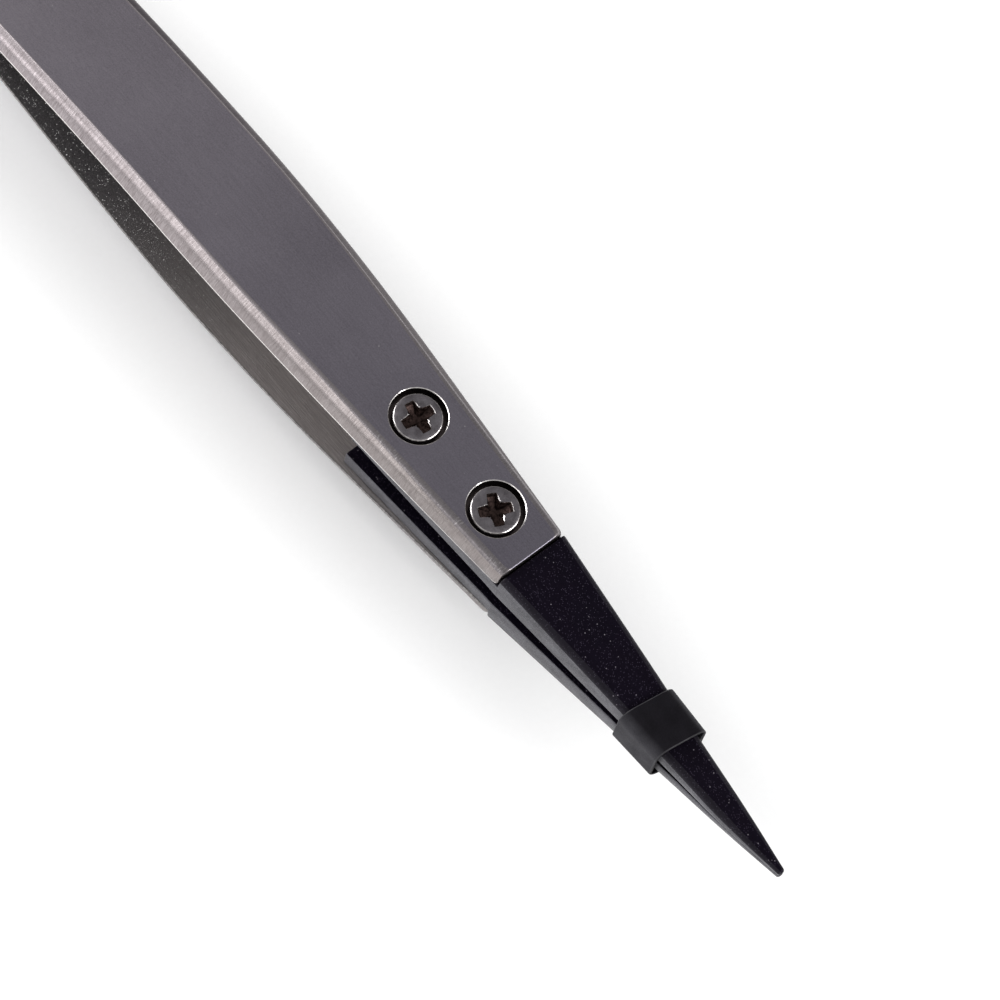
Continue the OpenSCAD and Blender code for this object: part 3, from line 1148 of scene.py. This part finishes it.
def build_tips():
    mesh = tip_mesh()
    for half in ("upper", "lower"):
        tip = piece(
            f"{half}_plastic_tip",
            mesh,
            mirrored=half == "lower",
            sharp_angle=50,
        )
        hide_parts(f"{half}_tip")
        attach(tip, f"{half}_jaw")


# ---------------------------------------------------------------- rubber ring

def ring_outline(offset, forward):
    """Rounded rectangle around both tips at an offset from the bore, as (y, z), a share of the way
    forward along the ring, which tapers with the tips."""
    half = tip_curve(1, RING_REAR) + RING_BORE_GAP + offset - RING_TAPER * forward
    height = tip_curve(2, RING_REAR) + RING_BORE_GAP + offset - 0.5 * RING_TAPER * forward
    radius = mix(RING_BORE_CORNER, RING_OUTER_CORNER, offset / RING_WALL)
    corner_steps, points = 10, []
    for i, (y, z) in enumerate(((1, -1), (1, 1), (-1, 1), (-1, -1))):
        centre = Vector((y * (half - radius), z * (height - radius)))
        for step in range(corner_steps + 1):
            angle = math.pi / 2 * (i - 1 + step / corner_steps)
            points.append(centre + Vector((math.cos(angle), math.sin(angle))) * radius)
    return points


def ring_mesh():
    """Sleeve that leans forward on its +Y side, with its two ends rounded over."""
    length = RING_REAR - RING_FRONT - 2 * RING_LEAN * RING_HALF_WIDTH
    middle = along((RING_REAR + RING_FRONT) / 2)
    profile = []
    for x, offset, start in (
        (RING_LIP, RING_WALL - RING_LIP, 90),
        (RING_LIP, RING_LIP, 180),
        (length - RING_LIP, RING_LIP, 270),
        (length - RING_LIP, RING_WALL - RING_LIP, 0),
    ):
        for step in range(4):
            a = math.radians(start + 30 * step)
            profile.append((x + RING_LIP * math.cos(a), offset + RING_LIP * math.sin(a)))
    points, labels = [], []
    for x, offset in profile:
        for p in ring_outline(offset, x / length):
            points.append(Vector((middle - length / 2 + x + RING_LEAN * p.x, p.x, p.y)))
    rows = len(profile)
    sides = len(points) // rows
    faces = []
    for i in range(rows):
        for j in range(sides):
            k, below, above = (j + 1) % sides, i * sides, (i + 1) % rows * sides
            faces.append((below + j, below + k, above + k, above + j))
            labels.append("rubber" if i % 4 == 3 else "lit_rubber_edge")
    return fill_mesh("ring", points, faces, ["rubber", "lit_rubber_edge"], labels)


def build_ring():
    ring = piece("rubber_ring", ring_mesh(), sharp_angle=60)
    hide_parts("tip_ring")
    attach(ring, "ring")


# ---------------------------------------------------------------- studio

VIEW_AZIMUTH = math.radians(-59.36)
VIEW_ELEVATION = math.radians(65.8)
VIEW_ROLL = math.radians(49.38)
VIEW_DISTANCE = 392.9
VIEW_SHIFT = (7.3, -5.52)
VIEW_LENS = 214.5
FLOOR_HALF_SIZE = 4.0
# Below the front end of the lower arm, which reaches 2.16 mm under z = 0 when the tweezers open
FLOOR_DROP = 2.2


def build_camera():
    """Camera over the grip, aimed between the grip and the points."""
    back = Vector((
        math.cos(VIEW_ELEVATION) * math.cos(VIEW_AZIMUTH),
        math.cos(VIEW_ELEVATION) * math.sin(VIEW_AZIMUTH),
        math.sin(VIEW_ELEVATION),
    ))
    level = (Vector((1, 0, 0)) - back * back.x).normalized()
    upright = back.cross(level)
    roll = Matrix.Rotation(-VIEW_ROLL, 2)
    right = level * roll[0][0] + upright * roll[0][1]
    up = level * roll[1][0] + upright * roll[1][1]
    aim = Vector((along(40), 0, MID_Z)) + right * VIEW_SHIFT[0] + up * VIEW_SHIFT[1]
    data = bpy.data.cameras.new("camera")
    data.lens = VIEW_LENS
    data.clip_start = 0.01
    data.clip_end = 20
    camera = bpy.data.objects.new("camera", data)
    bpy.context.scene.collection.objects.link(camera)
    turn = Matrix((right, up, back)).transposed().to_4x4()
    camera.matrix_world = Matrix.Translation((aim + back * VIEW_DISTANCE) * MM) @ turn
    bpy.context.scene.camera = camera


def build_floor():
    """Square floor, its half size in metres, below everything that the joints can reach."""
    bm = bmesh.new()
    bmesh.ops.create_grid(bm, x_segments=8, y_segments=8, size=FLOOR_HALF_SIZE)
    mesh = bpy.data.meshes.new("floor")
    bm.to_mesh(mesh)
    bm.free()
    mesh.materials.append(materials["floor"])
    floor = bpy.data.objects.new("floor", mesh)
    bpy.context.scene.collection.objects.link(floor)
    floor.location.z = cad_box[0].z - FLOOR_DROP * MM


def add_softbox(name, place, size, watts):
    """Soft area light at a place in metres, facing the object."""
    data = bpy.data.lights.new(name, "AREA")
    data.shape = "RECTANGLE"
    data.size, data.size_y = size
    data.energy = watts
    light = bpy.data.objects.new(name, data)
    bpy.context.scene.collection.objects.link(light)
    light.location = place
    light.rotation_mode = "QUATERNION"
    light.rotation_quaternion = (-Vector(place)).to_track_quat("-Z", "Y")


def build_lights():
    """Two keys low at the ends of the tweezers, a strip along their side and a pale room."""
    add_softbox("tail_softbox", (-1.1, -0.5, 0.6), (0.9, 0.7), 20)
    add_softbox("point_softbox", (1.05, 0.5, 0.6), (0.9, 0.6), 19)
    add_softbox("side_strip", (-0.3, -1.4, 0.42), (1.8, 0.26), 4.6)
    world = bpy.data.worlds.new("studio")
    world.use_nodes = True
    world.node_tree.nodes["Background"].inputs["Color"].default_value = (1, 1, 1, 1)
    world.node_tree.nodes["Background"].inputs["Strength"].default_value = 0.47
    bpy.context.scene.world = world
    bpy.context.scene.view_settings.view_transform = "Standard"


# ---------------------------------------------------------------- assembly

def finish_welds():
    """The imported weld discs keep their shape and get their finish."""
    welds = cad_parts["spot_welds"]
    welds.data.materials.clear()
    welds.data.materials.append(materials["weld"])


build_camera()
build_strips()
build_screws()
build_tips()
build_ring()
finish_welds()
build_floor()
build_lights()
